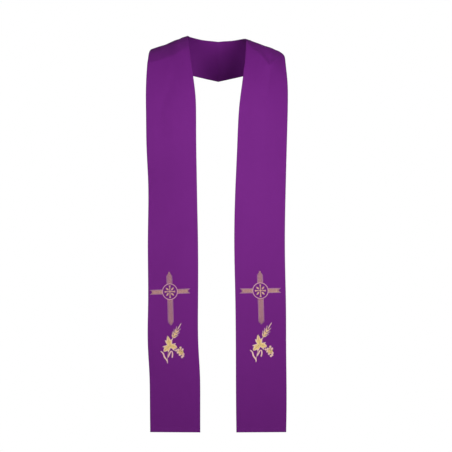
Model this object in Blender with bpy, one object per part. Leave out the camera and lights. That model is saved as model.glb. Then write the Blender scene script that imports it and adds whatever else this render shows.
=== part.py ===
"""Clerical stole, worn open over the shoulders: two long cloth panels joined by a seam at the centre back.

Metres, +Z up. The front faces -Y and the wearer's right side is at -X. The origin is at the
top of the centre-back seam, under the cloth, where the back of the wearer's neck carries it.
Each panel is one closed wall of cloth, lofted through sections from the hem, up the chest,
over the shoulder and round the neck to the seam.
"""

import bpy
import numpy as np

MM = 0.001

CLOTH_THICKNESS = 2.0      # two layers of cloth with stiffening between them
SEAM_GAP = 0.3             # between the two panels along the centre-back seam
EDGE_ROLL = 0.8            # how far the folded edge rounds over, measured across the panel
COLUMNS = 16               # strips of faces across each panel
LONG_STEP = 24.0           # spacing of rows down the hanging part
SHORT_STEP = 7.0           # spacing of rows over the shoulder and round the neck
NAPE = (0.0, 92.0, -5.0)   # top of the centre-back seam, in the coordinates of the sections

CLOTH_COLOUR = (0.158, 0.023, 0.206, 1.0)
CLOTH_ROUGHNESS = 0.72

# One row per section, from the hem to the centre-back seam. Lengths are in mm.
#   out, back, up  where the section meets the inner (neck) edge: away from the centre line,
#                  behind the shoulder line, above the highest point beside the neck
#   width          across the panel
#   turn, fall     direction across the panel in degrees: turned back from sideways, and
#                  dropped below level
#   crown          how far the middle of the section bows off the body
RIGHT_SECTIONS = (
    # out,   back,     up,    width,  turn,  fall, crown
    (47.0, -128.0, -1091.5, 138.6,   9.5,   1.2,   0.0),
    (47.0, -128.0, -1015.0, 139.5,   9.5,   1.0,   1.0),
    (48.0, -128.0,  -930.0, 140.0,   9.3,   0.8,   2.0),
    (51.8, -127.5,  -864.0, 140.0,   9.6,   0.6,   1.5),
    (52.8, -127.0,  -740.0, 140.0,  11.6,   0.4,   0.5),
    (53.0, -126.8,  -583.0, 140.0,  10.8,   0.2,   1.5),
    (56.4, -125.6,  -410.0, 140.0,  16.5,   0.0,   3.5),
    (58.0, -123.6,  -310.0, 140.0,  12.5,   0.0,   4.0),
    (58.4, -117.0,  -232.0, 140.0,  10.5,  -0.4,   4.0),
    (59.6, -109.8,  -190.0, 139.4,  10.0,  -0.6,   3.5),
    (64.0,  -98.6,  -147.0, 134.8,  10.0,  -0.6,   3.0),
    (70.6,  -79.4,  -101.0, 126.0,   9.5,   0.0,   2.0),
    (75.4,  -58.4,   -65.0, 119.2,   9.0,   2.2,   1.0),
    (79.4,  -36.0,   -35.0, 115.0,   7.4,   8.6,   0.0),
    (82.6,  -12.5,   -12.8, 112.0,   5.0,  16.0,  -1.0),
    (84.2,   12.0,    -1.2, 110.5,   4.0,  20.5,  -1.5),
    (80.6,   38.0,     1.4, 111.5,   7.0,  26.5,  -0.5),
    (67.0,   63.0,     1.0, 114.0,  16.0,  36.0,   1.0),
    (39.0,   83.6,    -2.0, 116.0,  38.0,  51.0,   3.5),
    (18.0,   90.4,    -3.2, 117.0,  62.0,  59.6,   3.5),
    (0.0,    92.0,    -5.0, 120.0,  90.0,  66.0,   3.0),
)
LEFT_SECTIONS = (
    (50.3, -128.0, -1091.5, 137.8,   9.5,   1.2,   0.0),
    (49.4, -128.0, -1015.0, 139.8,   9.5,   1.0,   1.0),
    (49.0, -128.0,  -930.0, 139.8,   9.5,   0.8,   2.0),
    (48.8, -127.5,  -864.0, 139.8,  10.4,   0.6,   1.5),
    (47.6, -127.0,  -740.0, 140.0,  10.0,   0.4,   0.5),
    (44.6, -126.8,  -583.0, 140.0,   9.6,   0.2,   1.5),
    (48.4, -125.6,  -410.0, 140.0,  11.0,   0.0,   3.0),
    (53.0, -123.4,  -310.0, 140.0,  14.4,   0.0,   4.0),
    (56.4, -117.0,  -232.0, 139.6,  15.0,  -0.4,   4.0),
    (60.2, -109.8,  -190.0, 137.6,  16.0,  -0.6,   3.5),
    (66.0,  -98.4,  -147.0, 132.2,  17.0,  -0.4,   3.0),
    (71.8,  -79.2,  -101.0, 123.6,  18.0,   0.8,   2.4),
    (75.0,  -60.0,   -70.0, 117.6,  17.0,   4.0,   2.4),
    (76.4,  -38.0,   -42.0, 114.4,  13.5,  11.0,   2.2),
    (76.8,  -14.0,   -20.5, 112.2,   9.0,  17.4,   1.6),
    (76.6,   12.0,   -10.4, 111.0,   6.0,  22.4,   1.2),
    (73.6,   38.0,    -5.2, 112.0,   8.0,  28.0,   1.6),
    (62.6,   63.0,    -2.8, 114.0,  16.5,  36.5,   2.5),
    (37.6,   83.6,    -3.4, 116.0,  38.5,  51.0,   3.5),
    (17.4,   90.4,    -3.6, 117.0,  62.0,  59.6,   3.5),
    (0.0,    92.0,    -5.0, 120.0,  90.0,  66.0,   3.0),
)

# One row per soft fold. Distances are in mm.
#   from_nape  along the panel from the centre-back seam to the middle of the fold
#   across     share of the width, 0 at the neck edge and 1 at the outer edge
#   height     off the body; a hollow is negative
#   spread     half width of the fold
#   reach      half length of the fold
#   lean       how far it drifts outward, as a share of the width, from one end to the other
RIGHT_FOLDS = (
    # from_nape, across, height, spread, reach,  lean
    (226.0, 0.27,   3.4,  14.0,  54.0,   0.24),
    (236.0, 0.52,  -2.8,  14.0,  52.0,   0.18),
    (166.0, 0.80,  -1.2,  16.0,  36.0,   0.00),
    (470.0, 0.72,  -2.6,  26.0, 150.0,   0.06),
    (900.0, 0.35,   1.8,  30.0, 170.0,  -0.10),
)
LEFT_FOLDS = (
    (216.0, 0.63,   5.0,  22.0,  27.0,   0.10),
    (238.0, 0.30,  -3.0,  16.0,  46.0,   0.30),
    (250.0, 0.90,  -2.4,  13.0,  40.0,   0.00),
    (480.0, 0.30,  -2.4,  26.0, 150.0,  -0.08),
    (880.0, 0.62,   1.8,  30.0, 170.0,   0.10),
)


def spline_through(stations, values, wanted):
    """Natural cubic spline through one column of numbers."""
    gaps = np.diff(stations)
    slopes = np.diff(values) / gaps
    count = len(stations)
    matrix = np.eye(count)
    right = np.zeros(count)
    for i in range(1, count - 1):
        matrix[i, i - 1] = gaps[i - 1]
        matrix[i, i] = 2.0 * (gaps[i - 1] + gaps[i])
        matrix[i, i + 1] = gaps[i]
        right[i] = 6.0 * (slopes[i] - slopes[i - 1])
    bend = np.linalg.solve(matrix, right)
    cell = np.clip(np.searchsorted(stations, wanted) - 1, 0, count - 2)
    width = gaps[cell]
    before = wanted - stations[cell]
    after = stations[cell + 1] - wanted
    cubic = bend[cell] * after ** 3 + bend[cell + 1] * before ** 3
    start = values[cell] / width - bend[cell] * width / 6.0
    end = values[cell + 1] / width - bend[cell + 1] * width / 6.0
    return cubic / (6.0 * width) + start * after + end * before


def across_direction(turn, fall):
    """Unit vectors across the panel from the neck edge, with x pointing away from the centre line."""
    turn = np.radians(turn)
    fall = np.radians(fall)
    return np.stack((np.cos(turn) * np.cos(fall), np.sin(turn) * np.cos(fall), -np.sin(fall)), axis=-1)


def section_stations(table):
    """Distance along the middle of the panel from the hem to each section."""
    middle = table[:, 0:3] + 0.5 * table[:, 3:4] * across_direction(table[:, 4], table[:, 5])
    steps = np.linalg.norm(np.diff(middle, axis=0), axis=1)
    return np.concatenate(([0.0], np.cumsum(steps)))


def row_stations(length, neck_part):
    """Stations of the rows of faces: wide apart down the front, close over the shoulder."""
    long_rows = int(round((length - neck_part) / LONG_STEP))
    short_rows = int(round(neck_part / SHORT_STEP))
    hanging = np.linspace(0.0, length - neck_part, long_rows + 1)
    neck = np.linspace(length - neck_part, length, short_rows + 1)
    return np.concatenate((hanging, neck[1:]))


def fold_offset(along, across, width, length, folds):
    """Sum of the soft folds at one point, in mm off the body."""
    total = np.zeros_like(along)
    for from_nape, place, height, spread, reach, lean in folds:
        run = (along - (length - from_nape)) / reach
        aside = (across - place - lean * run * 0.5) * width / spread
        total += height * np.exp(-run ** 2 - aside ** 2)
    return total


def middle_surface(sections, folds):
    """Grid of points halfway through the cloth (rows by columns), in mm, and its outward normals."""
    table = np.array(sections)
    stations = section_stations(table)
    length = stations[-1]
    rows = row_stations(length, 430.0)
    columns = [spline_through(stations, table[:, k], rows) for k in range(7)]
    edge = np.stack(columns[0:3], axis=-1)
    width, turn, fall, crown = columns[3:7]
    direction = across_direction(turn, fall)
    share = np.linspace(0.0, 1.0, COLUMNS + 1)
    grid = edge[:, None, :] + width[:, None, None] * share[None, :, None] * direction[:, None, :]
    along = np.repeat(rows[:, None], COLUMNS + 1, axis=1)
    across = np.repeat(share[None, :], len(rows), axis=0)
    wide = np.repeat(width[:, None], COLUMNS + 1, axis=1)
    bow = crown[:, None] * 4.0 * across * (1.0 - across)
    bow = bow + fold_offset(along, across, wide, length, folds)
    grid = grid + bow[:, :, None] * grid_normals(grid)
    return grid, grid_normals(grid)


def grid_normals(grid):
    """Unit normals pointing off the body. The seam row's normals lie in the plane of the seam."""
    along = np.gradient(grid, axis=0)
    across = np.gradient(grid, axis=1)
    normals = np.cross(across, along)
    normals[-1, :, 0] = 0.0
    return normals / np.linalg.norm(normals, axis=-1, keepdims=True)


def wall_rings(grid, normals):
    """One closed loop of points round each section: outer face, rolled edge, inner face, rolled edge."""
    half = 0.5 * CLOTH_THICKNESS
    faces = grid.copy()
    first = grid[:, 1] - grid[:, 0]
    last = grid[:, -2] - grid[:, -1]
    faces[:, 0] += EDGE_ROLL * first / np.linalg.norm(first, axis=-1, keepdims=True)
    faces[:, -1] += EDGE_ROLL * last / np.linalg.norm(last, axis=-1, keepdims=True)
    off_body = faces + half * normals
    on_body = faces - half * normals
    return np.concatenate((grid[:, :1], off_body, grid[:, -1:], on_body[:, ::-1]), axis=1)


def hem_roll(rings):
    """Pulls the first loop in to half its thickness and adds it again a little further up."""
    up = rings[1] - rings[0]
    up = up / np.linalg.norm(up, axis=-1, keepdims=True)
    middle = 0.5 * (rings[0] + rings[0][mirror_order(len(rings[0]))])
    second = rings[0] + EDGE_ROLL * up
    first = middle + 0.35 * (rings[0] - middle)
    return np.concatenate((first[None], second[None], rings[1:]), axis=0)


def mirror_order(count):
    """For each point of a loop, the point straight through the cloth from it."""
    half = (count - 2) // 2
    order = list(range(count))
    for i in range(half):
        order[1 + i] = count - 1 - i
        order[count - 1 - i] = 1 + i
    return order


def wall_faces(ring_count, loop):
    """Quads round the wall, then quads across the hem end and the seam end."""
    faces = []
    for i in range(ring_count - 1):
        for j in range(loop):
            k = (j + 1) % loop
            faces.append((i * loop + j, i * loop + k, (i + 1) * loop + k, (i + 1) * loop + j))
    half = (loop - 2) // 2
    for base, reverse in ((0, True), ((ring_count - 1) * loop, False)):
        faces.append(end_face((base, base + 1, base + loop - 1), reverse))
        for i in range(1, half):
            quad = (base + i, base + i + 1, base + loop - i - 1, base + loop - i)
            faces.append(end_face(quad, reverse))
        faces.append(end_face((base + half, base + half + 1, base + half + 2), reverse))
    return faces


def end_face(corners, reverse):
    return tuple(reversed(corners)) if reverse else tuple(corners)


def cloth_material(name):
    material = bpy.data.materials.new(name)
    material.use_nodes = True
    shader = material.node_tree.nodes["Principled BSDF"]
    shader.inputs["Base Color"].default_value = CLOTH_COLOUR
    shader.inputs["Roughness"].default_value = CLOTH_ROUGHNESS
    shader.inputs["Metallic"].default_value = 0.0
    return material


def build_panel(name, side, sections, folds):
    """One panel. side is -1 for the wearer's right and 1 for the wearer's left."""
    grid, normals = middle_surface(sections, folds)
    rings = hem_roll(wall_rings(grid, normals))
    rings[:, :, 0] += 0.5 * SEAM_GAP
    rings[-1, :, 0] = 0.5 * SEAM_GAP
    points = (rings - np.array(NAPE)).reshape(-1, 3)
    points[:, 0] *= side
    faces = wall_faces(rings.shape[0], rings.shape[1])
    if side < 0:
        faces = [tuple(reversed(face)) for face in faces]
    mesh = bpy.data.meshes.new(name)
    mesh.from_pydata((points * MM).tolist(), [], faces)
    mesh.validate()
    mesh.polygons.foreach_set("use_smooth", [True] * len(mesh.polygons))
    mesh.materials.append(cloth_material(name + "_cloth"))
    mesh.update()
    panel = bpy.data.objects.new(name, mesh)
    bpy.context.scene.collection.objects.link(panel)
    return panel


def main():
    for item in list(bpy.data.objects):
        bpy.data.objects.remove(item)
    build_panel("right_panel", -1, RIGHT_SECTIONS, RIGHT_FOLDS)
    build_panel("left_panel", 1, LEFT_SECTIONS, LEFT_FOLDS)


main()
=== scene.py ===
import math

import bpy
import numpy as np
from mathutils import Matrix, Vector


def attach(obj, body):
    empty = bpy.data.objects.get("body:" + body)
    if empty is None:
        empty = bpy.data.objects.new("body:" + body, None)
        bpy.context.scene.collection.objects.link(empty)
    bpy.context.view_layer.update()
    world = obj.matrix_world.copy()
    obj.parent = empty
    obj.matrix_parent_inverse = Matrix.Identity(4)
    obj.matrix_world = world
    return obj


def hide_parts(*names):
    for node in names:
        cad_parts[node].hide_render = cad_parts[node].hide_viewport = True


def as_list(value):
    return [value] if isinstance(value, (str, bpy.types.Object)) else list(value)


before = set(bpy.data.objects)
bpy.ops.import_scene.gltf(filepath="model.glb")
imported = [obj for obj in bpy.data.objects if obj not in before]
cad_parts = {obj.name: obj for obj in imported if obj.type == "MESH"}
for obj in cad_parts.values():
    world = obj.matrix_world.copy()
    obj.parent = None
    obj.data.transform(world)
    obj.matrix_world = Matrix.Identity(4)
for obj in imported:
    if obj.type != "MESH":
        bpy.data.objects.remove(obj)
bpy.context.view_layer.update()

scene = bpy.context.scene
print("frame loaded:", sorted(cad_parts))


# A band is in millimetres, from the highest point beside the neck. Each of its sections, from the
# hem to the centre-back seam, has the place of the neck edge (out, back, up), the width, the turn
# and fall of the way across in degrees, and how far the middle bows off the body.
rightBand = {
    "side": -1,
    "sections": (
        (47.0, -128.0, -1091.5, 138.6, 9.5, 1.2, 0.0),
        (47.0, -128.0, -1015.0, 139.5, 9.5, 1.0, 1.0),
        (48.0, -128.0, -930.0, 140.0, 9.3, 0.8, 2.0),
        (51.8, -127.5, -864.0, 140.0, 9.6, 0.6, 1.5),
        (52.8, -127.0, -740.0, 140.0, 11.6, 0.4, 0.5),
        (53.0, -126.8, -583.0, 140.0, 10.8, 0.2, 1.5),
        (56.4, -125.6, -410.0, 140.0, 16.5, 0.0, 3.5),
        (58.0, -123.6, -310.0, 140.0, 12.5, 0.0, 4.0),
        (58.4, -117.0, -232.0, 140.0, 10.5, -0.4, 4.0),
        (59.6, -109.8, -190.0, 139.4, 10.0, -0.6, 3.5),
        (64.0, -98.6, -147.0, 134.8, 10.0, -0.6, 3.0),
        (70.6, -79.4, -101.0, 126.0, 9.5, 0.0, 2.0),
        (75.4, -58.4, -65.0, 119.2, 9.0, 2.2, 1.0),
        (79.4, -36.0, -35.0, 115.0, 7.4, 8.6, 0.0),
        (82.6, -12.5, -12.8, 112.0, 5.0, 16.0, -1.0),
        (84.2, 12.0, -1.2, 110.5, 4.0, 20.5, -1.5),
        (80.6, 38.0, 1.4, 111.5, 7.0, 26.5, -0.5),
        (67.0, 63.0, 1.0, 114.0, 16.0, 36.0, 1.0),
        (39.0, 83.6, -2.0, 116.0, 38.0, 51.0, 3.5),
        (18.0, 90.4, -3.2, 117.0, 62.0, 59.6, 3.5),
        (0.0, 92.0, -5.0, 120.0, 90.0, 66.0, 3.0),
    ),
    # soft folds, and creases in the same columns: distance from the seam, share of the width, height,
    # half width, half length and lean
    "folds": (
        (226.0, 0.27, 3.4, 14.0, 54.0, 0.24),
        (236.0, 0.52, -2.8, 14.0, 52.0, 0.18),
        (166.0, 0.80, -1.2, 16.0, 36.0, 0.00),
        (470.0, 0.72, -2.6, 26.0, 150.0, 0.06),
        (900.0, 0.35, 1.8, 30.0, 170.0, -0.10),
    ),
    "creases": (
        (368.0, 0.50, -1.2, 14.0, 62.0, -0.30),
        (330.0, 0.16, 0.9, 16.0, 60.0, -0.10),
        (128.0, 0.22, -0.9, 6.0, 30.0, 0.30),
        (92.0, 0.55, 0.8, 9.0, 26.0, -0.40),
        (1035.0, 0.90, 0.8, 12.0, 60.0, 0.10),
        # fullness at the top of the shoulder
        (186.0, 0.80, 3.7, 32.0, 30.0, 0.00),
        (186.0, 0.53, 1.5, 13.0, 30.0, 0.00),
        (184.0, 0.14, 2.0, 9.0, 30.0, 0.00),
    ),
    # where the cloth breaks over the shoulder: share of the width, distance from the seam, height
    "shoulderBreak": (
        (0.00, 250.0, 4.4), (0.25, 264.0, 4.4), (0.50, 277.0, 4.6), (0.75, 290.0, 4.8), (1.00, 298.0, 4.8),
    ),
    # middle of the ring: height above the hem and share of the width, and the turn in degrees
    "motif": {"height": 381.1, "share": 0.558, "turn": 2.3},
    # the flat pattern piece: its box in metres, and its area in square metres
    "cut": {"flat": (0.171, 1.342), "area": 0.1756},
}

leftBand = {
    "side": 1,
    "sections": (
        (50.3, -128.0, -1091.5, 137.8, 9.5, 1.2, 0.0),
        (49.4, -128.0, -1015.0, 139.8, 9.5, 1.0, 1.0),
        (49.0, -128.0, -930.0, 139.8, 9.5, 0.8, 2.0),
        (48.8, -127.5, -864.0, 139.8, 10.4, 0.6, 1.5),
        (47.6, -127.0, -740.0, 140.0, 10.0, 0.4, 0.5),
        (44.6, -126.8, -583.0, 140.0, 9.6, 0.2, 1.5),
        (48.4, -125.6, -410.0, 140.0, 11.0, 0.0, 3.0),
        (53.0, -123.4, -310.0, 140.0, 14.4, 0.0, 4.0),
        (56.4, -117.0, -232.0, 139.6, 15.0, -0.4, 4.0),
        (60.2, -109.8, -190.0, 137.6, 16.0, -0.6, 3.5),
        (66.0, -98.4, -147.0, 132.2, 17.0, -0.4, 3.0),
        (71.8, -79.2, -101.0, 123.6, 18.0, 0.8, 2.4),
        (75.0, -60.0, -70.0, 117.6, 17.0, 4.0, 2.4),
        (76.4, -38.0, -42.0, 114.4, 13.5, 11.0, 2.2),
        (76.8, -14.0, -20.5, 112.2, 9.0, 17.4, 1.6),
        (76.6, 12.0, -10.4, 111.0, 6.0, 22.4, 1.2),
        (73.6, 38.0, -5.2, 112.0, 8.0, 28.0, 1.6),
        (62.6, 63.0, -2.8, 114.0, 16.5, 36.5, 2.5),
        (37.6, 83.6, -3.4, 116.0, 38.5, 51.0, 3.5),
        (17.4, 90.4, -3.6, 117.0, 62.0, 59.6, 3.5),
        (0.0, 92.0, -5.0, 120.0, 90.0, 66.0, 3.0),
    ),
    "folds": (
        (216.0, 0.63, 5.0, 22.0, 27.0, 0.10),
        (250.0, 0.90, -1.0, 13.0, 40.0, 0.00),
        (480.0, 0.30, -2.4, 26.0, 150.0, -0.08),
        (880.0, 0.62, 1.8, 30.0, 170.0, 0.10),
    ),
    "creases": (
        (247.0, 0.62, 3.6, 16.0, 18.0, 0.00),
        (281.0, 0.63, 3.6, 15.0, 20.0, 0.00),
        (130.0, 0.24, -0.9, 6.0, 30.0, 0.30),
        (88.0, 0.52, 0.8, 9.0, 26.0, -0.40),
        (300.0, 0.52, 0.8, 12.0, 80.0, -0.06),
        # fullness at the top of the shoulder, and its rounded corner
        (184.0, 0.36, 2.4, 24.0, 30.0, 0.00),
        (178.0, 0.12, 0.9, 7.0, 30.0, 0.00),
        (206.0, 0.86, 1.3, 7.0, 24.0, 0.00),
        (208.0, 1.00, -4.6, 6.0, 22.0, 0.00),
    ),
    "shoulderBreak": (
        (0.00, 212.0, 4.4), (0.12, 230.0, 5.6), (0.39, 254.0, 6.5), (0.57, 292.0, 8.5), (0.78, 258.0, 8.0),
        (1.00, 214.0, 4.2),
    ),
    "motif": {"height": 383.8, "share": 0.4955, "turn": 0.8},
    "cut": {"flat": (0.197, 1.318), "area": 0.1731},
}

cloth = {
    "thickness": 1.9,
    "seamGap": 0.04,
    "napePoint": (0.0, 92.0, -5.0),     # the frame's origin, in the sections' coordinates
    "rowStep": 3.2,
    "columnStep": 3.0,
    # rows and columns stand closer at the seam, the hem ridge and the turned-in edges
    "seamRows": (2.2, 1.7, 1.2, 0.75, 0.35, 0.12),
    "seamReach": 4.0,                   # in place of the even rows, this near to the seam
    "hemRows": (9.4, 10.4, 11.4, 12.6),
    "hemReach": (8.2, 13.6),            # in place of those between these heights
    "edgeColumns": (0.0, 1.7, 3.4, 5.4, 7.2, 8.3, 9.4, 11.0),
    "firstColumn": 13.6,                # where the even columns begin
    "usualWidth": 140.0,
    "hemRidge": 0.28,                   # of the turned-up hem
    "hemStep": (9.4, 11.6),             # the ridge ends between these heights
    "hemRoll": ((9.0, 0.0), (34.0, 0.1), (60.0, 0.4), (90.0, 0.9)),     # degrees, height up the weave
    "allowanceRidge": 0.16,             # of the turned-in edges
    "allowanceStep": (7.3, 9.7),        # the ridge ends between these distances from the edge
    "edgeTurns": (-50.0, 0.0, 50.0),    # the folded edges' middle, in degrees
    "edgeRoll": 3.4,                    # the folded edges round off over this width
    "edgeDrop": 0.55,
    "edgeRound": 0.98,                  # and make this much of a quarter round
    "breakAbove": 22.0,                 # how far the bend over the shoulder reaches towards the seam
    "breakBelow": 44.0,                 # and towards the hem
    "breakRound": 2.6,
    "seamRoll": 1.2,                    # how the cloth dips into the centre-back seam
    "seamDrop": 0.6,
    "seamPucker": 0.22,
    "puckerWaves": (61.0, 17.0, 1.7),   # across the band, and how they wander
    "puckerFade": 7.0,                  # away from the seam
    "puckerStart": (0.5, 3.0),
    "ripple": 0.45,                     # slow unevenness of the hanging cloth
    # length of each wave, its lag across the band and its lag from band to band
    "rippleWaves": ((61.0, 2.1, 1.0), (143.0, 0.0, -1.3), (37.0, -3.4, 2.2)),
    "rippleShort": 0.6,                 # the share of the shortest wave
    "rippleLeast": 0.15,                # at the hem
    "rippleHem": 90.0,                  # it grows over this height above the hem
    "rippleSeam": 200.0,                # and fades over this length before the seam
}


def splineThrough(stations, values, wanted):
    # natural cubic spline through the values at the stations
    gaps = np.diff(stations)
    slopes = np.diff(values) / gaps
    count = len(stations)
    matrix = np.eye(count)
    right = np.zeros(count)
    for i in range(1, count - 1):
        matrix[i, i - 1:i + 2] = gaps[i - 1], 2.0 * (gaps[i - 1] + gaps[i]), gaps[i]
        right[i] = 6.0 * (slopes[i] - slopes[i - 1])
    bend = np.linalg.solve(matrix, right)
    cell = np.clip(np.searchsorted(stations, wanted) - 1, 0, count - 2)
    width = gaps[cell]
    before = wanted - stations[cell]
    after = stations[cell + 1] - wanted
    cubic = (bend[cell] * after ** 3 + bend[cell + 1] * before ** 3) / (6.0 * width)
    start = values[cell] / width - bend[cell] * width / 6.0
    end = values[cell + 1] / width - bend[cell + 1] * width / 6.0
    return cubic + start * after + end * before


def acrossWay(turn, fall):
    # unit vectors across the band
    turn, fall = np.radians(turn), np.radians(fall)
    return np.stack((np.cos(turn) * np.cos(fall), np.sin(turn) * np.cos(fall), -np.sin(fall)), axis=-1)


def unit(vectors):
    return vectors / np.linalg.norm(vectors, axis=-1, keepdims=True)


def offBody(grid):
    # unit normals away from the body; the seam row's lie in the plane of the seam
    normals = np.cross(np.gradient(grid, axis=1), np.gradient(grid, axis=0))
    normals[-1, :, 0] = 0.0
    return unit(normals)


def bandLength(band):
    # the sections, and how far up the cloth's middle line each one is
    table = np.array(band["sections"])
    middle = table[:, :3] + 0.5 * table[:, 3:4] * acrossWay(table[:, 4], table[:, 5])
    steps = np.linalg.norm(np.diff(middle, axis=0), axis=1)
    return table, np.concatenate(([0.0], np.cumsum(steps)))


def rowPlaces(length):
    # even rows, apart from the close ones at the hem ridge and the seam
    rows = np.linspace(0.0, length, int(round(length / cloth["rowStep"])) + 1)
    rows = rows[(rows < length - cloth["seamReach"]) | (rows == length)]
    rows = rows[(rows < cloth["hemReach"][0]) | (rows > cloth["hemReach"][1])]
    return np.unique(np.concatenate((rows, length - np.array(cloth["seamRows"]), cloth["hemRows"])))


def columnPlaces():
    # shares of the width: close together at the turned-in edges
    edge, full = np.array(cloth["edgeColumns"]), cloth["usualWidth"]
    first, last = cloth["firstColumn"], full - cloth["firstColumn"]
    middle = np.linspace(first, last, int(round((last - first) / cloth["columnStep"])) + 1)
    return np.concatenate((edge, middle, full - edge[::-1])) / full


def foldHeights(along, across, width, length, folds):
    total = np.zeros_like(along)
    for fromNape, place, height, spread, reach, lean in folds:
        run = (along - (length - fromNape)) / reach
        aside = (across - place - lean * run * 0.5) * width / spread
        total += height * np.exp(-run ** 2 - aside ** 2)
    return total


def shoulderBend(toSeam, across, line):
    # a soft ridge along the line where the cloth turns from the shoulder to the front
    line = np.array(line)
    beyond = toSeam - np.interp(across, line[:, 0], line[:, 1])
    reach = np.where(beyond > 0.0, cloth["breakBelow"], cloth["breakAbove"])
    away = np.sqrt(beyond ** 2 + cloth["breakRound"] ** 2) - cloth["breakRound"]
    return np.interp(across, line[:, 0], line[:, 2]) * np.exp(-away / reach)


def slowRipple(along, across, side):
    # a few long waves out of step with each other, so the hanging part isn't dead flat
    middling, long, short = [along / length + lag * across + shift * side
                             for length, lag, shift in cloth["rippleWaves"]]
    total = np.sin(middling) * np.cos(long) + cloth["rippleShort"] * np.sin(short)
    return cloth["ripple"] * total * np.clip(along / cloth["rippleHem"], cloth["rippleLeast"], 1.0)


def step(value, start, end):
    share = np.clip((value - start) / (end - start), 0.0, 1.0)
    return share * share * (3.0 - 2.0 * share)


def rolledOff(distance, width, drop, roundness):
    # how far a face falls away towards an edge, as a quarter round
    inside = np.clip(1.0 - distance / width, 0.0, 1.0)
    return drop * (1.0 - np.sqrt(1.0 - roundness * inside ** 2))


def faceRelief(along, across, toEdge, toSeam):
    # what the outer face adds over the bare cloth: hem, turned-in edges, puckered seam
    relief = cloth["hemRidge"] * (1.0 - step(along, *cloth["hemStep"]))
    relief = np.maximum(relief, cloth["allowanceRidge"] * (1.0 - step(toEdge, *cloth["allowanceStep"])))
    often, slow, wander = cloth["puckerWaves"]
    pucker = np.sin(across * often + wander * np.sin(across * slow)) * np.exp(-toSeam / cloth["puckerFade"])
    relief += cloth["seamPucker"] * pucker * step(toSeam, *cloth["puckerStart"])
    relief -= rolledOff(toSeam, cloth["seamRoll"], cloth["seamDrop"], 1.0)
    return relief - rolledOff(toEdge, cloth["edgeRoll"], cloth["edgeDrop"], cloth["edgeRound"])


def drapeBand(band):
    # the middle surface of the cloth, its normals and the relief of its outer face
    table, stations = bandLength(band)
    length = stations[-1]
    rows, shares = rowPlaces(length), columnPlaces()
    columns = [splineThrough(stations, table[:, k], rows) for k in range(7)]
    edge = np.stack(columns[:3], axis=-1)
    width, turn, fall, crown = columns[3:]
    way = acrossWay(turn, fall)
    grid = edge[:, None] + width[:, None, None] * shares[None, :, None] * way[:, None]
    along = np.repeat(rows[:, None], len(shares), axis=1)
    across = np.repeat(shares[None, :], len(rows), axis=0)
    wide = np.repeat(width[:, None], len(shares), axis=1)
    toSeam = length - along
    bow = crown[:, None] * 4.0 * across * (1.0 - across)
    bow += foldHeights(along, across, wide, length, band["folds"] + band["creases"])
    bow += shoulderBend(toSeam, across, band["shoulderBreak"])
    bow += slowRipple(along, across, band["side"]) * step(toSeam, 0.0, cloth["rippleSeam"])
    grid = grid + bow[:, :, None] * offBody(grid)
    relief = faceRelief(along, across, np.minimum(across, 1.0 - across) * wide, toSeam)
    return {"grid": grid, "normals": offBody(grid), "relief": relief, "rows": rows,
            "shares": shares, "width": width, "length": length}


def clothRings(drape):
    # one loop round each row: outer face, rolled edge, inner face, rolled edge
    half = 0.5 * cloth["thickness"]
    grid, normals, relief = drape["grid"], drape["normals"], drape["relief"]
    inward = (unit(grid[:, 1] - grid[:, 0]), unit(grid[:, -2] - grid[:, -1]))
    faces = grid.copy()
    faces[:, 0] += half * inward[0]
    faces[:, -1] += half * inward[1]
    outer = faces + (half + relief)[:, :, None] * normals
    inner = faces - half * normals
    rolls = []
    for column, direction in ((0, inward[0]), (-1, inward[1])):
        roll = []
        for degrees in cloth["edgeTurns"]:
            angle = math.radians(degrees)
            back = half * (1.0 - math.cos(angle))
            roll.append(grid[:, column] + back * direction + half * math.sin(angle) * normals[:, column])
        rolls.append(np.stack(roll, axis=1))
    return np.concatenate((rolls[0], outer, rolls[1][:, ::-1], inner[:, ::-1]), axis=1)


def oppositeOrder(columns):
    # for each point of a loop, the one straight through the cloth; a loop is the three points of
    # a rolled edge, the outer face, the other edge's three points and the inner face
    loop = 2 * columns + 6
    order = np.zeros(loop, int)
    order[0:3] = (2, 1, 0)
    order[3:3 + columns] = loop - 1 - np.arange(columns)
    order[3 + columns:6 + columns] = (5 + columns, 4 + columns, 3 + columns)
    order[6 + columns:] = 2 + columns - np.arange(columns)
    return order


def rollHem(rings, columns):
    # the first ring turns into a few that close up round the fold
    half = 0.5 * cloth["thickness"]
    up = unit(rings[1] - rings[0])
    middle = 0.5 * (rings[0] + rings[0][oppositeOrder(columns)])
    turned = []
    for degrees, height in cloth["hemRoll"]:
        angle = math.radians(degrees)
        turned.append(middle + math.sin(angle) * (rings[0] - middle) + half * (1.0 - math.cos(angle)) * up)
    return np.concatenate((np.array(turned), rings[1:]), axis=0)


def ringFaces(ringCount, columns):
    # quads from ring to ring, then the two closed ends
    loop = 2 * columns + 6
    first = np.arange(ringCount - 1)[:, None] * loop
    here = np.arange(loop)[None, :]
    after = (here + 1) % loop
    corners = (first + here, first + after, first + loop + after, first + loop + here)
    faces = [tuple(quad) for quad in np.stack(corners, axis=-1).reshape(-1, 4).tolist()]
    order = oppositeOrder(columns)
    for base, flip in ((0, True), ((ringCount - 1) * loop, False)):
        ends = [(1, 2, 0)]
        ends += [(j, j + 1, int(order[j + 1]), int(order[j])) for j in range(2, 3 + columns)]
        ends.append((3 + columns, 4 + columns, 5 + columns))
        for corners in ends:
            face = tuple(base + corner for corner in corners)
            faces.append(face[::-1] if flip else face)
    return faces


def toFrame(points, side):
    # sections' millimetres to the frame's metres
    placed = points - np.array(cloth["napePoint"])
    placed[..., 0] = side * (placed[..., 0] + 0.5 * cloth["seamGap"])
    return placed * 0.001


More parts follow.
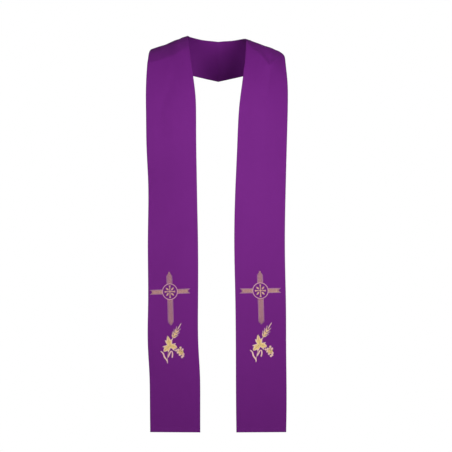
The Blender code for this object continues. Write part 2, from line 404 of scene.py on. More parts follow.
def meshFrom(name, points, faces, material):
    mesh = bpy.data.meshes.new(name)
    mesh.from_pydata(points.reshape(-1, 3).tolist(), [], faces)
    mesh.polygons.foreach_set("use_smooth", [True] * len(mesh.polygons))
    mesh.materials.append(material)
    mesh.update()
    piece = bpy.data.objects.new(name, mesh)
    scene.collection.objects.link(piece)
    return piece


def addClothUv(mesh, rings, rows):
    # metres along the weave, u round the band and v up it, with no jump where a ring closes
    around = np.linalg.norm(np.diff(rings, axis=1, append=rings[:, :1]), axis=-1)
    u = np.concatenate((np.zeros((len(rings), 1)), np.cumsum(around, axis=1)), axis=1) * 0.001
    v = rows * 0.001
    loop = rings.shape[1]
    corner = np.zeros(len(mesh.loops), np.int32)
    mesh.loops.foreach_get("vertex_index", corner)
    row, column = corner // loop, corner % loop
    faceOf = np.repeat(np.arange(len(mesh.polygons)), [len(p.vertices) for p in mesh.polygons])
    ringFace = faceOf < (len(rings) - 1) * loop
    lastColumn = ringFace & (faceOf % loop == loop - 1) & (column == 0)
    column = np.where(lastColumn, loop, column)
    uv = np.stack((u[row, column], v[row]), axis=-1)
    layer = mesh.uv_layers.new(name="weaveMetres")
    layer.data.foreach_set("uv", uv.astype(np.float32).ravel())


def buildBand(name, band, material):
    drape = drapeBand(band)
    columns = len(drape["shares"])
    rings = rollHem(clothRings(drape), columns)
    rings[-1, :, 0] = 0.0
    faces = ringFaces(len(rings), columns)
    if band["side"] < 0:
        faces = [face[::-1] for face in faces]
    piece = meshFrom(name, toFrame(rings, band["side"]), faces, material)
    rows = np.concatenate(([height for degrees, height in cloth["hemRoll"]], drape["rows"][1:]))
    addClothUv(piece.data, rings, rows)
    print("cloth:", name, len(piece.data.polygons), "faces, length", round(drape["length"], 1), "mm")
    return piece, drape


def feed(tree, node, sources):
    # each input takes a value or another node's output
    for key, source in sources.items():
        if isinstance(source, bpy.types.NodeSocket):
            tree.links.new(source, node.inputs[key])
        else:
            node.inputs[key].default_value = source


def addNode(tree, kind, place, sources=None, **settings):
    node = tree.nodes.new(kind)
    node.location = place
    for key, value in settings.items():
        setattr(node, key, value)
    feed(tree, node, sources or {})
    return node


def addMath(tree, operation, place, *values):
    return addNode(tree, "ShaderNodeMath", place, dict(enumerate(values)), operation=operation).outputs[0]


def newTree(name, kind, inputs, outputs, span):
    # a node tree with named sockets, and the nodes where it starts and ends
    tree = bpy.data.node_groups.new(name, kind)
    for label, (socketKind, value) in inputs.items():
        socket = tree.interface.new_socket(name=label, in_out="INPUT", socket_type="NodeSocket" + socketKind)
        if value is not None:
            socket.default_value = value
    for label, socketKind in outputs.items():
        tree.interface.new_socket(name=label, in_out="OUTPUT", socket_type="NodeSocket" + socketKind)
    start = addNode(tree, "NodeGroupInput", (span[0], 0))
    end = addNode(tree, "NodeGroupOutput", (span[1], 0))
    return tree, start, end


def mixTones(tree, place, share, finish):
    # between the shadow and the light tone of a finish
    mix = addNode(tree, "ShaderNodeMix", place, data_type="RGBA")
    sockets = {socket.identifier: socket for socket in list(mix.inputs) + list(mix.outputs)}
    sockets["A_Color"].default_value = finish["shadow"]
    sockets["B_Color"].default_value = finish["light"]
    tree.links.new(share, sockets["Factor_Float"])
    return sockets["Result_Color"]


twill = {
    "slope": 0.62,                      # of the diagonal wales
    "yarnRatio": 1.25,                  # yarns that break a wale, for each wale
    "yarnDepth": 0.3,
    "slubSize": 260.0,                  # of the unevenness, per metre
    "contrast": 0.38,
}


def makeTwillGroup():
    # diagonal wales of a twill, each broken into yarns, from a vector in metres
    inputs = {"Vector": ("Vector", None), "Wales per metre": ("Float", 900.0), "Unevenness": ("Float", 0.3)}
    outputs = {"Height": "Float", "Shade": "Float"}
    group, start, end = newTree("twillWeave", "ShaderNodeTree", inputs, outputs, (-1100, 700))
    split = addNode(group, "ShaderNodeSeparateXYZ", (-900, 0), {0: start.outputs["Vector"]})
    turns = addMath(group, "MULTIPLY", (-900, -180), start.outputs["Wales per metre"], 2.0 * math.pi)
    rise = addMath(group, "MULTIPLY", (-700, 120), split.outputs["Y"], twill["slope"])
    diagonal = addMath(group, "SUBTRACT", (-520, 120), split.outputs["X"], rise)
    wale = addMath(group, "SINE", (-180, 120), addMath(group, "MULTIPLY", (-350, 120), diagonal, turns))
    counter = addMath(group, "ADD", (-520, -60), split.outputs["X"], split.outputs["Y"])
    yarnTurns = addMath(group, "MULTIPLY", (-520, -220), turns, twill["yarnRatio"])
    yarn = addMath(group, "SINE", (-180, -60), addMath(group, "MULTIPLY", (-350, -60), counter, yarnTurns))
    slubs = addNode(group, "ShaderNodeTexNoise", (-520, -420), {
        "Vector": start.outputs["Vector"], "Scale": twill["slubSize"], "Detail": 2.0})
    broken = addMath(group, "MULTIPLY", (0, 0), yarn, twill["yarnDepth"])
    both = addMath(group, "ADD", (160, 60), wale, broken)
    evened = addMath(group, "SUBTRACT", (-180, -300), slubs.outputs[0], 0.5)
    wander = addMath(group, "MULTIPLY", (0, -300), evened, start.outputs["Unevenness"])
    height = addMath(group, "ADD", (330, 60), both, wander)
    shade = addMath(group, "MULTIPLY_ADD", (500, -100), height, twill["contrast"], 0.5)
    shade.node.use_clamp = True
    feed(group, end, {"Height": height, "Shade": shade})
    return group


def makeToneGroup():
    # soft unevenness of tone, from a vector in metres
    inputs = {"Vector": ("Vector", None), "Size": ("Float", 9.0)}
    group, start, end = newTree("softTone", "ShaderNodeTree", inputs, {"Mask": "Float"}, (-500, 300))
    noise = addNode(group, "ShaderNodeTexNoise", (-250, 0), {
        "Vector": start.outputs["Vector"], "Scale": start.outputs["Size"], "Detail": 3.0, "Roughness": 0.55})
    feed(group, end, {"Mask": noise.outputs[0]})
    return group


def newMaterial(name):
    material = bpy.data.materials.new(name)
    material.use_nodes = True
    return material, material.node_tree, material.node_tree.nodes["Principled BSDF"]


def addBump(tree, height, finish):
    bump = addNode(tree, "ShaderNodeBump", (-220, -250), {
        "Strength": finish["bump"], "Distance": finish["bumpDistance"], "Height": height})
    return bump.outputs[0]


def addTone(tree, place, size, group):
    # the soft unevenness at one size, on the piece's own coordinates
    coordinates = addNode(tree, "ShaderNodeTexCoord", (place[0] - 200, place[1]))
    sources = {"Vector": coordinates.outputs["Object"], "Size": size}
    return addNode(tree, "ShaderNodeGroup", place, sources, node_tree=group).outputs["Mask"]


violetTwill = {
    "shadow": (0.119, 0.0100, 0.160, 1.0),
    "light": (0.208, 0.0200, 0.264, 1.0),
    "roughness": 0.62,
    "specular": 0.08,
    "sheen": 0.08,
    "sheenRoughness": 0.5,
    "sheenTint": (0.55, 0.2, 0.62, 1.0),
    "walesPerMetre": 950.0,
    "unevenness": 0.5,
    "bump": 0.35,
    "bumpDistance": 0.00022,
    "cloudSize": 7.0,
    "cloudShare": 0.16,
}


def makeClothMaterial(name, finish, weaveGroup, toneGroup):
    material, tree, shader = newMaterial(name)
    uv = addNode(tree, "ShaderNodeUVMap", (-1100, 0), uv_map="weaveMetres")
    weave = addNode(tree, "ShaderNodeGroup", (-850, 0), node_tree=weaveGroup, sources={
        "Vector": uv.outputs[0],
        "Wales per metre": finish["walesPerMetre"],
        "Unevenness": finish["unevenness"],
    })
    cloud = addTone(tree, (-850, -300), finish["cloudSize"], toneGroup)
    cloudPart = addMath(tree, "MULTIPLY", (-600, -300), cloud, finish["cloudShare"])
    weavePart = 1.0 - finish["cloudShare"]
    share = addMath(tree, "MULTIPLY_ADD", (-420, -100), weave.outputs["Shade"], weavePart, cloudPart)
    feed(tree, shader, {
        "Base Color": mixTones(tree, (-220, 100), share, finish),
        "Normal": addBump(tree, weave.outputs["Height"], finish),
        "Roughness": finish["roughness"],
        "Specular IOR Level": finish["specular"],
        "Sheen Weight": finish["sheen"],
        "Sheen Roughness": finish["sheenRoughness"],
        "Sheen Tint": finish["sheenTint"],
    })
    return material


threadColours = {
    "rose": {"shadow": (0.48, 0.26, 0.15, 1.0), "light": (0.87, 0.56, 0.37, 1.0), "roughness": 0.38},
    # the paler rose is partly the thread's own colour and partly painted highlight: its extra brightness
    # stands in for the shine of the stitches on the tendrils, the leaf's tips, the grain edges and the outer
    # grapes
    "pale": {"shadow": (0.76, 0.47, 0.42, 1.0), "light": (0.98, 0.68, 0.60, 1.0), "roughness": 0.36},
    "pink": {"shadow": (0.57, 0.27, 0.34, 1.0), "light": (0.76, 0.42, 0.50, 1.0), "roughness": 0.36},
    "gold": {"shadow": (0.60, 0.38, 0.12, 1.0), "light": (0.97, 0.75, 0.28, 1.0), "roughness": 0.34},
}

threadFinish = {
    "sheen": 0.3,
    "fuzzSize": 260.0,                  # of the fine unevenness, per metre
    "fuzzShare": 0.5,                   # of the tone, beside the stitch's own
    "stitchShare": 0.6,
    "bump": 0.25,
    "bumpDistance": 0.0001,
}


def makeThreadMaterial(name, colour, toneGroup):
    # each stitch carries its own tone, and a fine unevenness stands for its fuzz
    material, tree, shader = newMaterial(name)
    stitchTone = addNode(tree, "ShaderNodeAttribute", (-900, 100), attribute_name="tone")
    fuzz = addTone(tree, (-900, -200), threadFinish["fuzzSize"], toneGroup)
    fuzzPart = addMath(tree, "MULTIPLY", (-650, -150), fuzz, threadFinish["fuzzShare"])
    share = addMath(tree, "MULTIPLY_ADD", (-450, 50), stitchTone.outputs["Fac"],
                    threadFinish["stitchShare"], fuzzPart)
    feed(tree, shader, {
        "Base Color": mixTones(tree, (-220, 100), share, colour),
        "Normal": addBump(tree, fuzz, threadFinish),
        "Roughness": colour["roughness"],
        "Sheen Weight": threadFinish["sheen"],
    })
    return material


softTone = makeToneGroup()
clothMaterial = makeClothMaterial("violetTwillCloth", violetTwill, makeTwillGroup(), softTone)
threadMaterials = {colour: makeThreadMaterial(colour + "Thread", values, softTone)
                   for colour, values in threadColours.items()}
print("finishes ready")

rightCloth, rightDrape = buildBand("rightBandCloth", rightBand, clothMaterial)
leftCloth, leftDrape = buildBand("leftBandCloth", leftBand, clothMaterial)


# The embroidery is drawn flat, in millimetres from the middle of the ring, x to the viewer's right and
# y up. A column of satin stitches is its points, half a stitch as a vector at each one, and its lift.
crossDesign = {
    "ringRadius": 21.1,
    "ringWidth": 2.1,
    "ringGap": 0.4,                     # bare cloth between the ring and the bars
    "uprightLines": 6,
    "uprightWidth": 15.2,
    "uprightLineWidth": 1.2,
    "uprightTop": 44.6,
    "topPoint": 13.5,                   # how far the point runs past the outer lines
    "topHollow": 1.7,                   # above 1 the point's sides are hollow
    "uprightFoot": -84.6,
    "footPoint": 7.8,
    "footHollow": 1.0,
    "armLines": 6,
    "armWidth": 12.4,
    "armLineWidth": 1.35,
    "armEnd": 49.6,
    "armNotch": 6.6,                    # how far the outer lines run past the middle ones
    "notchHollow": 1.2,                 # above 1 only the outer lines run far past
    "outerLineWidth": 0.95,             # the outermost line on each side, in the pinker thread
    "uprightTip": 0.4,                  # share of its width that a line ends with
    "armTip": 0.6,
    "slant": 28.0,                      # of the stitches in a line, in degrees
    # small cross inside the ring: direction in degrees and length of each limb
    "limbs": ((90.0, 16.6), (270.0, 16.6), (0.0, 14.4), (180.0, 14.4)),
    "limbWidths": (2.2, 1.8, 1.8, 2.8, 5.0),
    "petals": (5.0, 15.4, 4.8),         # nearest, furthest and width
    "petalTurns": (45.0, 135.0, 225.0, 315.0),
    "petalShape": (0.5, 0.8, 1.0, 0.7, 0.5),    # millimetres at its ends, and shares of the width
    "petalSlant": 20.0,
}


def wayAt(degrees):
    return np.array((math.cos(math.radians(degrees)), math.sin(math.radians(degrees))))


def leftOf(way):
    return np.stack((-way[..., 1], way[..., 0]), axis=-1)


def satinColumn(points, halves, lift=0.0):
    return np.array(points, float), np.array(halves, float), lift


def straightColumn(start, end, width, slant, tip):
    # even stitches, narrowing over the last tenth to the tip's share of the width
    start, end = np.array(start, float), np.array(end, float)
    way = (end - start) / np.linalg.norm(end - start)
    half = 0.5 * width * (leftOf(way) + math.tan(math.radians(slant)) * way)
    share = np.append(np.linspace(0.0, 0.9, 7), 1.0)
    halves = np.repeat(half[None], len(share), axis=0)
    halves[-1] *= tip
    return satinColumn(start + share[:, None] * (end - start), halves)


def curvedColumn(points, widths, slant, count):
    # stitches along a smooth curve through the points, with the widths spread evenly along it
    points = np.array(points, float)
    steps = np.linalg.norm(np.diff(points, axis=0), axis=1)
    stations = np.concatenate(([0.0], np.cumsum(steps)))
    wanted = np.linspace(0.0, stations[-1], count)
    curve = np.stack([splineThrough(stations, points[:, k], wanted) for k in range(2)], axis=-1)
    width = np.interp(wanted, np.linspace(0.0, stations[-1], len(widths)), widths)
    way = unit(np.gradient(curve, axis=0))
    return satinColumn(curve, 0.5 * width[:, None] * (leftOf(way) + math.tan(math.radians(slant)) * way))


def bulge(width, shape):
    # widths along a petal or a grain: those of its ends, and shares of its own width between them
    return [shape[0]] + [share * width for share in shape[1:-1]] + [shape[-1]]


def ringColumn(design):
    angle = np.linspace(0.0, 2.0 * math.pi, 73)
    spokes = np.stack((np.cos(angle), np.sin(angle)), axis=-1)
    return satinColumn(design["ringRadius"] * spokes, 0.5 * design["ringWidth"] * spokes)


def ringCrossing(offset, design):
    # how far from the middle a line of a bar meets the ring
    outer = design["ringRadius"] + 0.5 * design["ringWidth"] + design["ringGap"]
    return math.sqrt(outer * outer - offset * offset)


def barLines(design, width, lines, lineWidth, outermost):
    # each wanted line of a bar: offset, share of the way out to the outermost, and width
    halfWide = 0.5 * (width - design["outerLineWidth"])
    offsets = np.linspace(-halfWide, halfWide, lines)
    if outermost:
        return [(offset, 1.0, design["outerLineWidth"]) for offset in offsets[[0, -1]]]
    return [(offset, abs(offset) / halfWide, lineWidth) for offset in offsets[1:-1]]


def drawCross(design, outermost):
    # the bars' inner lines, or only the outermost ones
    columns, slant = [], design["slant"]
    upright = (design["uprightWidth"], design["uprightLines"], design["uprightLineWidth"])
    for offset, out, width in barLines(design, *upright, outermost):
        start = ringCrossing(offset, design)
        top = design["uprightTop"] + design["topPoint"] * (1.0 - out) ** design["topHollow"]
        foot = design["uprightFoot"] - design["footPoint"] * (1.0 - out) ** design["footHollow"]
        for near, far in ((start, top), (-start, foot)):
            columns.append(straightColumn((offset, near), (offset, far), width, slant, design["uprightTip"]))
    arm = (design["armWidth"], design["armLines"], design["armLineWidth"])
    for offset, out, width in barLines(design, *arm, outermost):
        start = ringCrossing(offset, design)
        end = design["armEnd"] + design["armNotch"] * out ** design["notchHollow"]
        for near, far in ((-start, -end), (start, end)):
            columns.append(straightColumn((near, offset), (far, offset), width, slant, design["armTip"]))
    return columns


def drawRingMiddle(design):
    # a small plain cross with spread ends and a petal in each quarter
    columns = []
    for turn, length in design["limbs"]:
        points = [wayAt(turn) * length * share for share in (0.0, 0.5, 1.0)]
        columns.append(curvedColumn(points, design["limbWidths"], 0.0, 16))
    near, far, width = design["petals"]
    widths = bulge(width, design["petalShape"])
    for turn in design["petalTurns"]:
        points = [wayAt(turn) * distance for distance in (near, 0.5 * (near + far), far)]
        columns.append(curvedColumn(points, widths, design["petalSlant"], 18))
    return columns


vineDesign = {
    "shift": -0.8,                      # of the whole vine, to the viewer's left
    "leafBase": (-5.0, -145.8),
    # the leaf's lobes: direction in degrees, length, and reach of the tooth on each side
    "lobes": (
        (99.9, 27.0, 9.6, 8.4),
        (220.2, 24.0, 9.8, 11.2),
        (-16.0, 20.4, 9.8, 10.4),
    ),
    # how a lobe's half width runs: shares of its length, then of its length and of its tooth
    "lobeShares": (0.0, 0.12, 0.27, 0.34, 0.62, 1.0),
    "lobeFoot": (0.27, 0.40),
    "lobeTooth": (1.0, 0.56, 0.43),
    "lobeTip": 0.5,
    "leafSlants": ((0.0, 60.0), (0.3, 44.0), (1.0, 26.0)),      # share of a lobe, slant of its stitches
    "leafRib": (0.2, 0.6, 0.3),         # bare cloth at its foot and its tip, and half across it
    "leafGold": (0.0, 0.82),            # where along each stitch the gold thread lies
    "leafPale": (0.64, 1.0),            # and the paler one, which along the lobes' edges is partly painted highlight
    "grapeTurns": (35.0, 85.0, 135.0),  # of the satin, by turns
    # the outer berries, raised and in the paler thread, are partly painted highlight on the bunch's rim,
    # round the gold berries inside
    "outerGrapes": {
        "radius": 2.9,
        "lift": 0.3,
        "centres": (
            (11.4, -159.4), (17.2, -157.8), (24.0, -152.4), (29.0, -157.6), (30.4, -169.8),
            (25.4, -177.8), (20.0, -171.4), (15.2, -165.2), (29.0, -174.9),
        ),
    },
    "innerGrapes": {
        "radius": 2.4,
        "lift": 0.0,
        "centres": (
            (22.6, -157.2), (27.0, -160.6), (21.6, -162.0), (17.0, -161.8), (24.4, -165.8),
            (28.9, -164.9), (19.9, -166.6), (23.0, -170.4), (27.4, -170.0),
        ),
    },
    "earBase": (4.7, -125.2),
    "earWay": 57.3,                     # in degrees
    # pairs of grains: place up the stalk, reach, spread in degrees and width
    "grains": (
        (0.6, 16.4, 36.0, 3.3), (8.4, 16.6, 33.0, 3.3), (16.4, 17.0, 23.0, 3.0),
        (3.0, 10.4, 12.0, 2.9), (10.0, 10.4, 11.0, 2.9), (17.0, 9.8, 9.0, 2.6),
    ),
    "grainShare": 0.62,                 # the rest of a grain's reach is its awn
    "grainBow": 0.4,
    "grainShape": (0.6, 0.66, 0.62, 0.4),       # millimetres at its ends, and shares of its width
    "grainSlant": 25.0,
    "shortGrain": 12.0,                 # grains shorter than this have no pale edge and no awn
    "grainInset": 0.4,                  # of the pale edge
    "edgeWidths": (1.3, 1.8, 1.2),
    "awnWidths": (1.3, 1.2, 0.8),
    "paleSlant": 30.0,
    "topGrain": (24.5, 8.0, 2.8),       # place up the stalk, length and width
    "topAwn": (28.5, 45.0),             # where it starts and ends up the stalk
    "topAwnWidths": (2.2, 2.0, 1.4),
    "stemSlant": 22.0,
    # stems: points along each, then widths spread evenly along it
    "stems": (
        (((4.9, -125.4), (3.4, -128.4), (1.4, -132.2), (0.2, -136.6)), (1.7, 1.6, 1.2)),
        (((-31.7, -160.4), (-25.2, -166.8), (-22.8, -176.0), (-17.2, -184.4), (-16.0, -193.5)),
         (1.4, 3.6, 3.9, 3.9, 3.9, 1.0)),
        (((-12.8, -176.4), (-7.6, -167.2), (-3.8, -161.9), (-1.6, -161.2), (0.4, -165.6),
          (0.0, -171.6), (-1.8, -178.4)), (3.2, 3.8, 3.6, 3.0, 3.5, 3.6, 3.2)),
        (((-10.6, -162.0), (-12.2, -169.0), (-14.0, -177.0), (-15.4, -185.0)), (0.7, 0.9, 0.9, 0.7)),
    ),
}


def leafStitches(design):
    # fishbone: each stitch leaves the rib slanting forwards, longest at the tooth
    places, slants = zip(*design["leafSlants"])
    foot, tip, besideRib = design["leafRib"]
    for turn, length, leftTooth, rightTooth in design["lobes"]:
        way = wayAt(turn)
        start = np.linspace(foot, length - tip, 44)
        share = start / length
        slant = np.radians(np.interp(share, places, slants))[:, None]
        for side, tooth in ((1.0, leftTooth), (-1.0, rightTooth)):
            longest = tooth / math.sin(math.radians(slants[1]))
            reaches = [part * length for part in design["lobeFoot"]]
            reaches += [part * longest for part in design["lobeTooth"]] + [design["lobeTip"]]
            reach = np.interp(share, design["lobeShares"], reaches)[:, None]
            stitch = reach * (np.cos(slant) * way + side * np.sin(slant) * leftOf(way))
            rib = np.array(design["leafBase"]) + start[:, None] * way
            yield rib + besideRib * side * leftOf(way), stitch


def drawLeaf(design, part):
    # from one share to another of every stitch
    middle, half = 0.5 * (part[0] + part[1]), 0.5 * (part[1] - part[0])
    return [satinColumn(rib + middle * stitch, half * stitch) for rib, stitch in leafStitches(design)]


def drawGrapes(bunch, turns):
    # a round of satin each, the stitches turned differently
    columns = []
    for number, centre in enumerate(bunch["centres"]):
        way = wayAt(turns[number % len(turns)])
        share = np.linspace(-0.97, 0.97, 13)
        halves = bunch["radius"] * np.sqrt(1.0 - share ** 2)
        points = np.array(centre) + bunch["radius"] * share[:, None] * way
        columns.append(satinColumn(points, halves[:, None] * leftOf(way), bunch["lift"]))
    return columns


def grainPaths(design):
    # each grain's start, middle, end, tip of its awn, width and side of the stalk
    base, way = np.array(design["earBase"]), wayAt(design["earWay"])
    outward = wayAt(design["earWay"] + 90.0)
    for place, reach, spread, width in design["grains"]:
        for side in (-1.0, 1.0):
            start = base + way * place
            out = wayAt(design["earWay"] + side * spread)
            body = start + out * reach * design["grainShare"]
            middle = 0.5 * (start + body) + design["grainBow"] * side * outward
            yield start, middle, body, start + out * reach, width, side
    place, length, width = design["topGrain"]
    start = base + way * place
    body = start + way * length
    yield start, 0.5 * (start + body), body, None, width, 0.0


def drawGrains(design):
    columns = []
    for start, middle, body, tip, width, side in grainPaths(design):
        widths = bulge(width, design["grainShape"])
        columns.append(curvedColumn([start, middle, body], widths, design["grainSlant"], 12))
    return columns


def drawGrainEdges(design):
    # paler thread along the outer side of each grain and out along its awn
    columns, slant = [], design["paleSlant"]
    for start, middle, body, tip, width, side in grainPaths(design):
        if tip is None or np.linalg.norm(tip - start) < design["shortGrain"]:
            continue
        way = (body - start) / np.linalg.norm(body - start)
        aside = side * leftOf(way) * 0.5 * (width - design["grainInset"])
        edge = [start, middle + aside, body + 0.3 * aside]
        awn = [body - 0.8 * way, 0.5 * (body + tip), tip]
        columns.append(curvedColumn(edge, design["edgeWidths"], slant, 10))
        columns.append(curvedColumn(awn, design["awnWidths"], slant, 10))
    base, way = np.array(design["earBase"]), wayAt(design["earWay"])
    start, end = [base + way * place for place in design["topAwn"]]
    columns.append(curvedColumn([start, 0.5 * (start + end), end], design["topAwnWidths"], slant, 14))
    return columns


def drawStems(design):
    return [curvedColumn(points, widths, design["stemSlant"], 36) for points, widths in design["stems"]]


def drawVine(design):
    # the gold and the pale stitches of the leaf, the ear, the stems and the grapes
    inner, outer = [drawGrapes(design[bunch], design["grapeTurns"])
                    for bunch in ("innerGrapes", "outerGrapes")]
    gold = drawLeaf(design, design["leafGold"]) + drawGrains(design) + inner
    pale = drawLeaf(design, design["leafPale"]) + drawGrainEdges(design) + drawStems(design) + outer
    aside = np.array((design["shift"], 0.0))
    return [[(points + aside, halves, lift) for points, halves, lift in part] for part in (gold, pale)]


stitching = {
    "pitch": 0.46,                      # between stitches
    "thread": 0.52,                     # thread diameter
    "threadSides": 5,
    "rise": 0.34,                       # how high the middle of a stitch stands
    "riseSteps": 4,
    "footHeight": 0.12,                 # of a stitch's ends over the cloth
    "seed": 11,
}


def makeStitchTree():
    # each point of a resampled guide line gets one bowed stitch, laid along its "reach"
    inputs = {
        "Guide": ("Geometry", None),
        "Pitch": ("Float", 0.00046),
        "Thread": ("Float", 0.0005),
        "Rise": ("Float", 0.0003),
        "Seed": ("Int", 1),
        "Material": ("Material", None),
    }
    outputs = {"Stitches": "Geometry"}
    tree, start, end = newTree("satinStitches", "GeometryNodeTree", inputs, outputs, (-1400, 1000))

    line = addNode(tree, "GeometryNodeMeshToCurve", (-1150, 200), {"Mesh": start.outputs["Guide"]})
    spaced = addNode(tree, "GeometryNodeResampleCurve", (-950, 200), mode="LENGTH", sources={
        "Curve": line.outputs[0], "Length": start.outputs["Pitch"]})

    lift = addNode(tree, "ShaderNodeCombineXYZ", (-1000, -150), {"Z": start.outputs["Rise"]})
    arch = addNode(tree, "GeometryNodeCurveQuadraticBezier", (-800, -150), {
        "Resolution": stitching["riseSteps"],
        "Start": (-1.0, 0.0, 0.0),
        "Middle": lift.outputs[0],
        "End": (1.0, 0.0, 0.0),
    })
    radius = addMath(tree, "MULTIPLY", (-1000, -400), start.outputs["Thread"], 0.5)
    roundThread = addNode(tree, "GeometryNodeCurvePrimitiveCircle", (-800, -400), mode="RADIUS", sources={
        "Resolution": stitching["threadSides"], "Radius": radius})
    stitch = addNode(tree, "GeometryNodeCurveToMesh", (-580, -200), {
        "Curve": arch.outputs[0], "Profile Curve": roundThread.outputs["Curve"], "Fill Caps": True})
    smooth = addNode(tree, "GeometryNodeSetShadeSmooth", (-400, -200), {0: stitch.outputs[0]})

    reach = addNode(tree, "GeometryNodeInputNamedAttribute", (-950, 500), data_type="FLOAT_VECTOR", sources={
        "Name": "reach"})
    aim = addNode(tree, "FunctionNodeAlignRotationToVector", (-650, 500), axis="X", pivot_axis="Z", sources={
        "Vector": reach.outputs["Attribute"]})
    size = addNode(tree, "ShaderNodeVectorMath", (-650, 350), operation="LENGTH", sources={
        0: reach.outputs["Attribute"]})
    stretch = addNode(tree, "ShaderNodeCombineXYZ", (-450, 350), {
        "X": size.outputs["Value"], "Y": 1.0, "Z": 1.0})

    place = addNode(tree, "GeometryNodeInstanceOnPoints", (-200, 200), {
        "Points": spaced.outputs[0],
        "Instance": smooth.outputs[0],
        "Rotation": aim.outputs[0],
        "Scale": stretch.outputs[0],
    })
    chance = addNode(tree, "FunctionNodeRandomValue", (-200, -150), data_type="FLOAT", sources={
        "Seed": start.outputs["Seed"]})
    keep = addNode(tree, "GeometryNodeStoreNamedAttribute", (50, 200), data_type="FLOAT", domain="INSTANCE",
                   sources={"Geometry": place.outputs[0], "Name": "tone", "Value": chance.outputs[1]})
    real = addNode(tree, "GeometryNodeRealizeInstances", (350, 200), {0: keep.outputs[0]})
    finish = addNode(tree, "GeometryNodeSetMaterial", (700, 200), {
        "Geometry": real.outputs[0], "Material": start.outputs["Material"]})
    feed(tree, end, {"Stitches": finish.outputs[0]})
    return tree


def guideMesh(name, columns):
    # the columns' points as lines, each with half a stitch as its "reach"
    points, edges, reach = [], [], []
    for line, halves, lift in columns:
        first = len(points)
        points += [(x * 0.001, y * 0.001, lift * 0.001) for x, y in line]
        reach += [(x * 0.001, y * 0.001, 0.0) for x, y in halves]
        edges += [(first + i, first + i + 1) for i in range(len(line) - 1)]
    mesh = bpy.data.meshes.new(name)
    mesh.from_pydata(points, edges, [])
    layer = mesh.attributes.new("reach", "FLOAT_VECTOR", "POINT")
    layer.data.foreach_set("vector", np.array(reach, np.float32).ravel())
    guide = bpy.data.objects.new(name, mesh)
    scene.collection.objects.link(guide)
    return guide


def sewFlat(name, columns, material, tree):
    guide = guideMesh(name + "Guide", columns)
    modifier = guide.modifiers.new("stitches", "NODES")
    modifier.node_group = tree
    sockets = {item.name: item.identifier for item in tree.interface.items_tree}
    modifier[sockets["Pitch"]] = stitching["pitch"] * 0.001
    modifier[sockets["Thread"]] = stitching["thread"] * 0.001
    modifier[sockets["Rise"]] = stitching["rise"] * 0.001
    modifier[sockets["Seed"]] = stitching["seed"]
    modifier[sockets["Material"]] = material
    graph = bpy.context.evaluated_depsgraph_get()
    mesh = bpy.data.meshes.new_from_object(guide.evaluated_get(graph), preserve_all_data_layers=True,
                                           depsgraph=graph)
    mesh.name = name
    guide.modifiers.clear()
    bpy.data.objects.remove(guide)
    return mesh


def sample(table, row, column):
    # value between the four nearest points of a grid
    i = np.clip(row.astype(int), 0, table.shape[0] - 2)
    j = np.clip(column.astype(int), 0, table.shape[1] - 2)
    a, b = (row - i)[:, None], (column - j)[:, None]
    near = table[i, j] * (1.0 - b) + table[i, j + 1] * b
    far = table[i + 1, j] * (1.0 - b) + table[i + 1, j + 1] * b
    return near * (1.0 - a) + far * a


def layOnCloth(mesh, band, drape):
    # from the flat drawing to the outer face of the draped cloth
    flat = np.zeros(len(mesh.vertices) * 3)
    mesh.vertices.foreach_get("co", flat)
    flat = flat.reshape(-1, 3) * 1000.0
    motif = band["motif"]
    angle = math.radians(motif["turn"])
    x = flat[:, 0] * math.cos(angle) - flat[:, 1] * math.sin(angle)
    y = flat[:, 0] * math.sin(angle) + flat[:, 1] * math.cos(angle)
    station = motif["height"] + y
    width = np.interp(station, drape["rows"], drape["width"])
    share = motif["share"] + band["side"] * x / width
    row = np.interp(station, drape["rows"], np.arange(len(drape["rows"])))
    column = np.interp(share, drape["shares"], np.arange(len(drape["shares"])))
    points = sample(drape["grid"], row, column)
    normals = unit(sample(drape["normals"], row, column))
    relief = sample(drape["relief"][:, :, None], row, column)
    lift = 0.5 * cloth["thickness"] + relief + flat[:, 2:3] + stitching["footHeight"]
    placed = toFrame(points + lift * normals, band["side"])
    mesh.vertices.foreach_set("co", placed.ravel())
    mesh.update()


def embroider(side, band, drape, tree):
    # one piece for each colour of thread
    pieces = []
    for colour, columns in stitches.items():
        name = side + colour.capitalize() + "Stitching"
        mesh = sewFlat(name, columns, threadMaterials[colour], tree)
        layOnCloth(mesh, band, drape)
        piece = bpy.data.objects.new(name, mesh)
        scene.collection.objects.link(piece)
        pieces.append(piece)
        print("embroidery:", name, len(mesh.polygons), "faces")
    return pieces


goldVine, paleVine = drawVine(vineDesign)
stitches = {
    "rose": drawCross(crossDesign, False) + drawRingMiddle(crossDesign),
    "gold": goldVine,
    "pink": drawCross(crossDesign, True) + [ringColumn(crossDesign)],
    "pale": paleVine,
}
stitchTree = makeStitchTree()
rightThreads = embroider("right", rightBand, rightDrape, stitchTree)
leftThreads = embroider("left", leftBand, leftDrape, stitchTree)

for piece, node, slot, cut, sewnOn in (
        (rightCloth, "right_panel", "right_cloth", rightBand["cut"], rightThreads),
        (leftCloth, "left_panel", "left_cloth", leftBand["cut"], leftThreads)):
    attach(piece, "root")
    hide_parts(node)
    for thread in sewnOn:
        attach(thread, "root")
    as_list(sewnOn)
print("pieces ride on the frame")


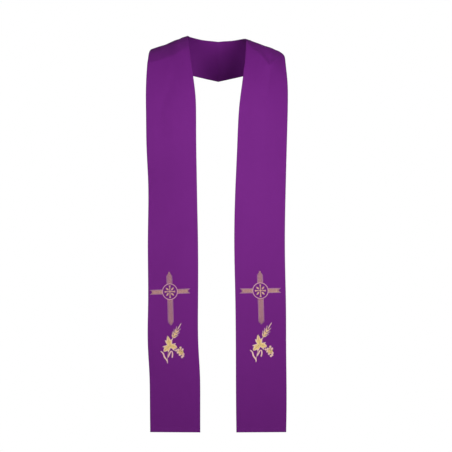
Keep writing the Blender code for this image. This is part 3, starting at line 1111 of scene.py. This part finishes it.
studio = {
    "floorHeight": -1.47,
    "floorRings": (0.6, 1.2, 2.4, 9.0),
    "floorColour": (0.86, 0.86, 0.85, 1.0),
    "floorRoughness": 0.9,
    "floorGlow": 0.75,                  # least share of its own light, so it stays pale
    "floorFade": (0.45, 1.35),          # from that to all of it, between these distances
    "surround": 0.09,                   # strength of the even light from all round
    "lamps": (
        # place, aim, size, spread in degrees, power
        ((0.80, -1.85, -0.20), (0.04, -0.1, -0.22), 1.0, 120.0, 12.7),
        ((-0.95, -1.80, -0.22), (-0.02, -0.1, -0.22), 1.0, 120.0, 7.1),
        ((0.4, 2.6, -0.2), (0.0, 0.0, -0.45), 1.6, 180.0, 75.0),
    ),
    "cameraPlace": (0.0224, -3.692, -0.5289),
    "lens": 102.38,
}


def makeFloor():
    sides = 96
    angle = np.linspace(0.0, 2.0 * math.pi, sides, endpoint=False)
    rim = np.stack((np.cos(angle), np.sin(angle), np.zeros(sides)), axis=-1)
    rings = [rim * radius for radius in studio["floorRings"]]
    points = np.concatenate([np.zeros((1, 3))] + rings) + np.array((0.0, 0.0, studio["floorHeight"]))
    faces = [(0, 1 + i, 1 + (i + 1) % sides) for i in range(sides)]
    for a in range(1, 1 + (len(rings) - 1) * sides, sides):
        b = a + sides
        faces += [(a + i, b + i, b + (i + 1) % sides, a + (i + 1) % sides) for i in range(sides)]
    material, tree, shader = newMaterial("paleFloor")
    feed(tree, shader, {"Base Color": studio["floorColour"], "Roughness": studio["floorRoughness"]})
    coordinates = addNode(tree, "ShaderNodeTexCoord", (-900, 0))
    flatten = addNode(tree, "ShaderNodeVectorMath", (-700, 0), operation="MULTIPLY", sources={
        0: coordinates.outputs["Object"], 1: (1.0, 1.0, 0.0)})
    away = addNode(tree, "ShaderNodeVectorMath", (-520, 0), operation="LENGTH", sources={
        0: flatten.outputs[0]})
    near, far = studio["floorFade"]
    fade = addNode(tree, "ShaderNodeMapRange", (-340, 0), interpolation_type="SMOOTHSTEP", sources={
        "Value": away.outputs["Value"], "From Min": near, "From Max": far, "To Min": studio["floorGlow"]})
    glow = addNode(tree, "ShaderNodeEmission", (-100, -250))
    mix = addNode(tree, "ShaderNodeMixShader", (150, 0), {
        0: fade.outputs["Result"], 1: shader.outputs[0], 2: glow.outputs[0]})
    feed(tree, tree.nodes["Material Output"], {"Surface": mix.outputs[0]})
    floor = meshFrom("studioFloor", points, faces, material)
    floor.visible_diffuse = False
    floor.visible_glossy = False
    return floor


def makeLamps():
    for number, (place, aim, size, spread, power) in enumerate(studio["lamps"]):
        lamp = bpy.data.lights.new("softLamp%d" % number, "AREA")
        lamp.size = size
        lamp.spread = math.radians(spread)
        lamp.energy = power
        holder = bpy.data.objects.new(lamp.name, lamp)
        holder.location = place
        holder.rotation_euler = (Vector(aim) - Vector(place)).to_track_quat("-Z", "Y").to_euler()
        holder.visible_camera = False
        scene.collection.objects.link(holder)


def makeSurround():
    # white behind the object, and a dimmer even light from all round
    world = bpy.data.worlds.new("studioSurround")
    scene.world = world
    world.use_nodes = True
    tree = world.node_tree
    white = (1.0, 1.0, 1.0, 1.0)
    soft = tree.nodes["Background"]
    feed(tree, soft, {"Color": white, "Strength": studio["surround"]})
    behind = addNode(tree, "ShaderNodeBackground", (0, -200), {"Color": white})
    rays = addNode(tree, "ShaderNodeLightPath", (0, 300))
    mix = addNode(tree, "ShaderNodeMixShader", (250, 0), {
        0: rays.outputs["Is Camera Ray"], 1: soft.outputs[0], 2: behind.outputs[0]})
    feed(tree, tree.nodes["World Output"], {"Surface": mix.outputs[0]})


def makeCamera():
    lensData = bpy.data.cameras.new("frontCamera")
    lensData.lens = studio["lens"]
    camera = bpy.data.objects.new("frontCamera", lensData)
    camera.location = studio["cameraPlace"]
    camera.rotation_euler = (math.radians(90.0), 0.0, 0.0)
    scene.collection.objects.link(camera)
    scene.camera = camera


makeFloor()
makeLamps()
makeSurround()
makeCamera()
scene.view_settings.view_transform = "Standard"
print("studio ready")
